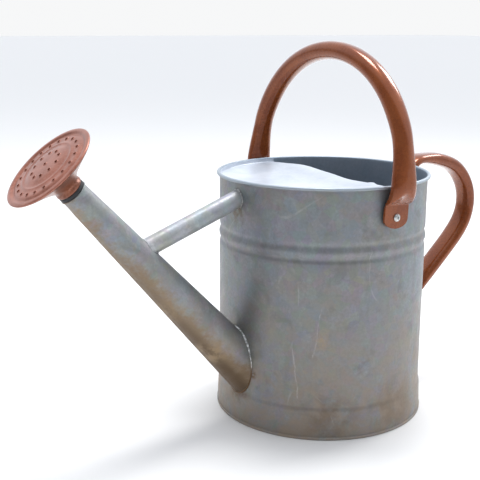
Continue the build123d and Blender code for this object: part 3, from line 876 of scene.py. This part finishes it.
def pinch(across, z, facet=10.8):
    """How far out from the tabs' inside face a tube's skin may stand: (least, most)."""
    slope = 1.02 + 1.05 * min(1.0, abs(across) / 14) ** 2
    most = (TAB_OUT - TAB_IN) + max(0.0, z - facet) * slope
    least = -max(0.0, z - 20) * 2.0
    return least, most


def heading(path, i):
    """Direction of a handle's centre line at one of its points."""
    return (path[min(i + 1, len(path) - 1)] - path[max(i - 1, 0)]).normalized()


def section(centre, across, out, thick, wide, power):
    """Points round a flattened tube, each with its place across the tube."""
    points = []
    for a in turn_angles(96):
        c, s = math.cos(a), math.sin(a)
        u = wide * math.copysign(abs(c) ** (2 / power), c)
        v = thick * math.copysign(abs(s) ** (2 / power), s)
        points.append((centre + across * u + out * v, u))
    return points


def held(reach, least, most):
    """A reach kept between two limits, softly."""
    limited = soft_min(reach, most, 0.7)
    return -soft_min(-limited, -least, 0.7)


def handle_rings(path, across, measure, facing, tab_face):
    """Rings of points for a flattened tube that is pinched flat at both ends.

    measure(i) gives half thickness, half width, squareness and height above the nearer bolt.
    facing is the direction out from the drum, and tab_face the tabs' inside face along it.
    """
    rings = []
    for i, centre in enumerate(path):
        thick, wide, power, height = measure(i)
        upright = 1 - ease(height, 14, 34)
        straight = Vector((0, 0, 1 if i < len(path) / 2 else -1))
        along = (heading(path, i) * (1 - upright) + straight * upright).normalized()
        out = across.cross(along)
        if out.dot(facing(i)) < 0 and height < 34:
            out = -out
        ring = []
        for p, u in section(centre, across, out, thick, wide, power):
            if height < 34:
                reach = p.dot(facing(i)) - tab_face
                p = p + facing(i) * (held(reach, *pinch(u, height)) - reach)
            ring.append(p)
        rings.append(ring)
    return rings


def handle_path(points):
    """A handle's centre line: its points, their distances along it, and its length."""
    start, end = (0, 0, 1), (0, 0, -1)
    even = smooth_line(points, 3000, start, end)
    length = float(np.linalg.norm(np.diff(even, axis=0), axis=1).sum())
    distances = spaced(length)
    path = [Vector(p) for p in smooth_line(points, [d / length for d in distances], start, end)]
    return path, distances, length


def close_tube(rings):
    """Points and faces of a tube through rings, with both ends closed."""
    sides = len(rings[0])
    verts = [p for ring in rings for p in ring]
    faces = grid_faces(len(rings), sides)
    faces.append(tuple(range(sides)))
    faces.append(tuple(range(len(verts) - sides, len(verts))))
    return verts, faces


def hole_rod(centre, direction):
    """A cutter for a bolt's hole. For the bail it runs along Y, where rod() has no width, so it cuts nothing."""
    reach, radius = 8, 2.06
    return rod(centre - direction * reach, centre + direction * reach, radius, radius, 48)


def spaced(length, tab=30.0, fine=0.55, coarse=2.2):
    """Distances along a handle, close together over its tabs."""
    ends = list(np.arange(0, tab, fine))
    middle = list(np.arange(tab, length - tab, coarse))
    return (ends + middle + [length - d for d in reversed(ends)])


def build_bail():
    """The carrying handle: two flattened tabs, two legs and an arch, leaning back a little at rest."""
    mid = (TAB_IN + TAB_OUT) / 2
    end = [
        (-mid, -TAB_LOW), (-mid, -5), (-mid, -1), (-mid, 3), (-mid - 0.2, 6.5), (-mid - 5.4, 17.5),
        (-104.6, 25), (-104.0, 34), (-102.9, 44), (-100.8, 56),
    ]
    arch = []
    for i in range(1, 20):
        angle = math.radians(71.5 * (i / 10 - 1))
        arch.append((BAIL_W * math.sin(angle), BAIL_H * math.cos(angle) ** 0.8))
    points = [(0, y, z) for y, z in end + arch + [(-y, z) for y, z in reversed(end)]]
    path = handle_path(points)[0]

    def measure(i):
        height = path[i].z
        thick, wide = tube_end(height, 6.2)
        power = 2.7 - 0.45 * ease(height, 25, 70)
        return thick, wide, power, height

    def facing(i):
        return Vector((0, -1 if path[i].y < 0 else 1, 0))

    rings = handle_rings(path, Vector((1, 0, 0)), measure, facing, TAB_IN)
    lean = Matrix.Translation((0, 0, PIVOT_Z)) @ Matrix.Rotation(math.radians(BAIL_LEAN), 4, "Y")
    rings = [[lean @ p for p in ring] for ring in rings]
    bail = add_piece("bail_tube", *close_tube(rings), "bail", ["bail_handle"], 28)
    for side in (-1, 1):
        cut(bail, *hole_rod(Vector((0, side * mid, PIVOT_Z)), Vector((0, 1, 0))))
    wear(bail, HANDLE_LOOK)


def build_rear_handle():
    """The handle at the back, from its upper tab over the bow and down to its lower tab."""
    x, top, low = (TAB_IN + TAB_OUT) / 2, PIVOT_Z, REAR_LOW_Z
    points = [
        (x, top - TAB_LOW), (x, top - 5), (x, top - 1), (x, top + 3), (x + 0.2, top + 6.5),
        (x + 3.6, top + 15), (x + 9, top + 22.6),
        (x + 18, top + 27.8), (x + 30, top + 28.6), (140, 223.3), (151, 221), (170.5, 213.3),
        (184.5, 199.5), (191.6, 183.5), (192, 169.5), (187.8, 156.5), (178.5, 143.5),
        (162.5, 127.8), (145, 111.9), (127, 95.6), (x + 14.5, low + 26.3), (x + 5.5, low + 16.6),
        (x + 0.2, low + 6.5), (x, low + 3), (x, low - 1), (x, low - 5), (x, low - TAB_LOW),
    ]
    path, distances, length = handle_path([(px, 0, pz) for px, pz in points])

    def measure(i):
        d = distances[i]
        upper = i < len(path) / 2
        height = (path[i].z - top) if upper else (low - path[i].z)
        near = min(d, length - d)
        height = height if abs(height) < 12 and near < 26 else near - TAB_LOW
        thick, wide = tube_end(height)
        thin = 2.2 * ease(near, 16, 30) * (1 - ease(near, 40, 78)) + 1.3 * ease(near, 30, 76)
        wide += (1.1 * ease(d, 40, 80) + 1.0 * ease(d, 150, 190)) * ease(length - d, 30, 76)
        return thick - thin, wide, 2.5, height

    rings = []
    for i, centre in enumerate(path):
        thick, wide, power, height = measure(i)
        out = Vector((0, -1, 0)).cross(heading(path, i))
        bolt = top if i < len(path) / 2 else low
        ring = []
        for p, u in section(centre, Vector((0, 1, 0)), out, thick, wide, power):
            if height < 24:
                least, most = pinch(u, p.z - bolt)
                if height < 18:
                    least = 0.0
                reach = p.x - TAB_IN
                p = p + Vector((1, 0, 0)) * (held(reach, least, most) - reach) * (1 - ease(height, 17, 24))
            ring.append(p)
        rings.append(ring)
    handle = add_piece("rear_tube", *close_tube(rings), "can", ["rear_handle"], 28)
    for z in (top, low):
        cut(handle, *hole_rod(Vector((x, 0, z)), Vector((1, 0, 0))))
    wear(handle, HANDLE_LOOK)


# ---------------------------------------------------------------- bolts
def build_bolts(name, places, node):
    """Pan-head bolts with a cross recess, on +X of each place."""
    seat, head_r, head_h, shank_end = 99.1, 3.3, 2.2, 86.4
    foot = shank_end - seat
    dome = [(0, 0), (1.2, 0.06), (2.2, 0.36), (2.8, 0.8), (3.15, 1.25)]
    line = [(r, head_h - drop) for r, drop in dome]
    line += [(head_r, 0.8), (head_r, 0.15), (head_r - 0.15, 0), (2.0, 0), (2.0, foot), (1.6, foot - 0.01), (0, foot - 0.01)]
    lay = Matrix.Translation((seat, 0, 0)) @ Matrix(((0, 0, 1, 0), (1, 0, 0, 0), (0, 1, 0, 0), (0, 0, 0, 1)))
    verts, faces = [], []
    slots = []
    for place in places:
        whole = place @ lay
        v, f = spin(line, 40, closed=False, place=whole)
        verts, faces = join((verts, faces), (v, f))
        for half_a, half_b in ((1.75, 0.38), (0.38, 1.75)):
            box = [(a, b, c) for c in (head_h - 1.3, head_h + 1) for a, b in (
                (-half_a, -half_b), (half_a, -half_b), (half_a, half_b), (-half_a, half_b))]
            sides = [(0, 1, 2, 3), (4, 5, 6, 7), (0, 1, 5, 4), (1, 2, 6, 5), (2, 3, 7, 6), (3, 0, 4, 7)]
            slots.append(([whole @ Vector(p) for p in box], sides))
    bolts = add_piece(name, verts, faces, "can", [node], 40)
    for v, f in slots:
        cut(bolts, v, f)
    wear(bolts, ZINC_LOOK)


# ---------------------------------------------------------------- rose
NECK = MOUTH + 3.4


def build_bush():
    """The rubber bush in the spout's mouth, with its flange."""
    bore, body, flange, low, high = 9.3, 10, 11.4, MOUTH + 0.3, MOUTH + 3.2
    line = [(bore, -15), (body, -15), (body, low), (flange, low), (flange, high), (bore, high)]
    verts, faces = spin(rounded([line[-1], *line], 0.45, 4)[1:], 128, place=TIP)
    wear(add_piece("rubber_bush", verts, faces, "seal", ["rose_seal"], 50), RUBBER_LOOK)


def build_funnel():
    """The flared back of the rose, as a thin sheet."""
    outside = smooth_line([
        (11.15, NECK), (11.7, NECK + 1.7), (11.2, NECK + 4.0), (13.4, NECK + 7.5), (20.5, NECK + 12.6),
        (30.0, NECK + 18.3), (38.6, NECK + 23.2),
    ], 60)
    inside = [(r - 0.35, z + 0.5) for r, z in reversed(outside[8:])]
    line = [(9.25, NECK + 4), (9.25, NECK + 0.2), (9.6, NECK)] + [tuple(p) for p in outside] + inside
    verts, faces = spin(line, 192, place=TIP)
    wear(add_piece("rose_cone", verts, faces, "rose", ["rose_funnel"], 45), FUNNEL_LOOK)


def face_height(r):
    """Height of the rose's face over its edge, at a radius."""
    return float(np.interp(r, FACE_LINE[:, 0], FACE_LINE[:, 1]))


FACE_LINE = smooth_line([
    (0, 3.4), (8, 3.35), (13, 3.1), (17, 2.6), (19.5, 1.85), (22.4, 1.5), (23.6, 1.75), (25.0, 1.35),
    (28.8, 0.85), (31, 0.7), (32.9, -0.1), (34.4, -0.6), (35.6, -0.1), (37.0, 0.75), (38.4, 0.8), (39.4, 0.6),
], 160, (1, 0), None)
HOLE_PLACES = []
for hole_count, hole_ring, hole_phase in ((20, 28.8, 0.0), (10, 13.2, 4.0), (1, 0.0, 0.0)):
    for hole in range(hole_count):
        hole_angle = math.radians(hole_phase + 360 * hole / hole_count)
        HOLE_PLACES.append((hole_ring * math.cos(hole_angle), hole_ring * math.sin(hole_angle)))


def build_face():
    """The pressed plate with its rolled edge, then a raised, torn lip round each hole."""
    front = [(r, ROSE_EDGE + z) for r, z in FACE_LINE]
    edge = [front[-1], (ROSE_R, ROSE_EDGE), (40.0, ROSE_EDGE - 0.9), (39.3, ROSE_EDGE - 1.3)]
    roll = smooth_line(edge, 12)[1:]
    back = [(r, z - 0.5) for r, z in reversed(front)]
    back[0] = (39.2, ROSE_EDGE + 0.1)
    line = front + [tuple(p) for p in roll] + [(38.95, ROSE_EDGE - 0.95), (39.4, ROSE_EDGE - 0.2)] + back
    line = [(max(r, 0.0), z) for r, z in line]
    verts, faces = spin(line, 240, closed=False, place=TIP)
    face = add_piece("rose_plate", verts, faces, "rose", ["rose_face"], 45)
    holes = ([], [])
    for x, y in HOLE_PLACES:
        z = ROSE_EDGE + face_height(math.hypot(x, y))
        start, end = TIP @ Vector((x, y, z - 3)), TIP @ Vector((x, y, z + 3))
        holes = join(holes, rod(start, end, 1.35, 1.35, 24))
    cut(face, *holes)
    lips = ([], [])
    for n, (x, y) in enumerate(HOLE_PLACES):
        r = math.hypot(x, y)
        z = ROSE_EDGE + face_height(r)
        slope = (face_height(r + 0.5) - face_height(max(0, r - 0.5))) / (1.0 if r > 0.5 else 0.5)
        tilt = Vector((-slope * (x / r if r else 0), -slope * (y / r if r else 0), 1)).normalized()
        place = TIP @ Matrix.Translation((x, y, z)) @ tilt.to_track_quat("Z", "Y").to_matrix().to_4x4()
        lip = [(HOLE_R, -0.7), (1.45, -0.7), (2.2, -0.14), (1.95, 0.06), (1.68, 0.26), (1.45, 0.36)]
        lip += [(1.27, 0.3), (HOLE_R, 0.06)]

        def torn(angle, radius, height, n=n):
            up = 1 + 0.35 * noise.noise(Vector((math.cos(angle) * 1.5 + n * 3.7, math.sin(angle) * 1.5, n)))
            return radius * (1 + 0.03 * math.sin(3 * angle + n)), height * up if height > 0 else height

        lips = join(lips, spin(lip, 24, place=place, shift=torn))
    mesh = bpy.data.meshes.new("lips")
    mesh.from_pydata([Vector(v) * MM for v in lips[0]], [], lips[1])
    bm = bmesh.new()
    bm.from_mesh(face.data)
    bm.from_mesh(mesh)
    bmesh.ops.recalc_face_normals(bm, faces=bm.faces)
    bm.to_mesh(face.data)
    bm.free()
    bpy.data.meshes.remove(mesh)
    face.data.shade_smooth()
    face.data.set_sharp_from_angle(angle=math.radians(45))
    wear(face, ROSE_LOOK)


# ---------------------------------------------------------------- the whole can
build_wall()
build_base()
build_hood()
build_spout()
build_root_bead()
build_strut()
build_strut_beads()
build_bail()
build_rear_handle()
quarter = Matrix.Rotation(math.pi / 2, 4, "Z")
at_pivot, at_rear_low = (Matrix.Translation((0, 0, z)) for z in (PIVOT_Z, REAR_LOW_Z))
build_bolts("bail_screws", [at_pivot @ quarter, at_pivot @ quarter.inverted()], "bail_bolts")
build_bolts("rear_screws", [at_pivot, at_rear_low], "rear_handle_bolts")
build_bush()
build_funnel()
build_face()

cad_looks = {"rim_wire": STRUT_LOOK, "rose_spigot": ROSE_LOOK}
for place in ("bail", "rear_handle"):
    cad_looks[place + "_seals"] = RUBBER_LOOK
    cad_looks[place + "_washers"] = cad_looks[place + "_nuts"] = ZINC_LOOK
for node, look in cad_looks.items():
    wear(frame["nodes"][node], look)

# ---------------------------------------------------------------- floor, light and camera
floor_mesh = bpy.data.meshes.new("floor")
corners = [(x, y, -0.0003) for x, y in ((-30, -30), (30, -30), (30, 30), (-30, 30))]
floor_mesh.from_pydata(corners, [], [(0, 1, 2, 3)])
floor = bpy.data.objects.new("floor", floor_mesh)
bpy.context.scene.collection.objects.link(floor)
floor_look = Looks("pale_floor")
floor_look.set(Base_Color=(0.92, 0.915, 0.905), Roughness=0.8, Specular_IOR_Level=0.15)
floor_mesh.materials.append(floor_look.material)

world = bpy.data.worlds.new("studio")
bpy.context.scene.world = world
world.use_nodes = True


def light_the_world():
    """A bright room behind the can and to its right, dimmer in front; the backdrop itself is pale."""
    tree = world.node_tree
    back = tree.nodes["Background"]
    coords = tree.nodes.new("ShaderNodeTexCoord")
    bright_side = tree.nodes.new("ShaderNodeVectorMath")
    bright_side.operation = "DOT_PRODUCT"
    tree.links.new(coords.outputs["Generated"], bright_side.inputs[0])
    turn = math.radians(40)
    bright_side.inputs[1].default_value = (math.cos(turn), math.sin(turn), 0.75)
    ramp = tree.nodes.new("ShaderNodeValToRGB")
    ramp.color_ramp.elements[0].position, ramp.color_ramp.elements[0].color = 0.02, (0.33, 0.345, 0.37, 1)
    ramp.color_ramp.elements[1].position, ramp.color_ramp.elements[1].color = 0.26, (1.12, 1.16, 1.23, 1)
    tree.links.new(bright_side.outputs["Value"], ramp.inputs[0])
    seen = tree.nodes.new("ShaderNodeLightPath")
    pick = tree.nodes.new("ShaderNodeMix")
    pick.data_type = "RGBA"
    tree.links.new(seen.outputs["Is Camera Ray"], pick.inputs[0])
    tree.links.new(ramp.outputs[0], pick.inputs[6])
    pick.inputs[7].default_value = (0.93, 0.935, 0.94, 1)
    tree.links.new(pick.outputs[2], back.inputs["Color"])
    back.inputs["Strength"].default_value = 1.0


light_the_world()


def soft_light(name, place, aim, size, power):
    light = bpy.data.lights.new(name, "AREA")
    light.shape, light.size, light.energy = "SQUARE", size, power
    lamp = bpy.data.objects.new(name, light)
    lamp.location = place
    lamp.rotation_euler = (Vector(aim) - Vector(place)).to_track_quat("-Z", "Y").to_euler()
    lamp.visible_camera = False
    bpy.context.scene.collection.objects.link(lamp)


soft_light("top", (0.2, 0.25, 1.8), (0, 0, 0.2), 0.55, 16)
soft_light("right", (1.2, 0.1, 1.25), (0, 0, 0.15), 0.5, 9)

eye, aim = Vector((-0.52576, -0.64454, 0.35149)), Vector((-0.09168, 0.0, 0.16862))
camera = bpy.data.objects.new("camera", bpy.data.cameras.new("camera"))
bpy.context.scene.collection.objects.link(camera)
camera.data.sensor_width, camera.data.lens = 36, 68.07
camera.matrix_world = (
    Matrix.Translation(eye) @ (aim - eye).to_track_quat("-Z", "Y").to_matrix().to_4x4()
    @ Matrix.Rotation(math.radians(0.245), 4, "Z")
)
bpy.context.scene.camera = camera
bpy.context.scene.view_settings.view_transform = "Standard"
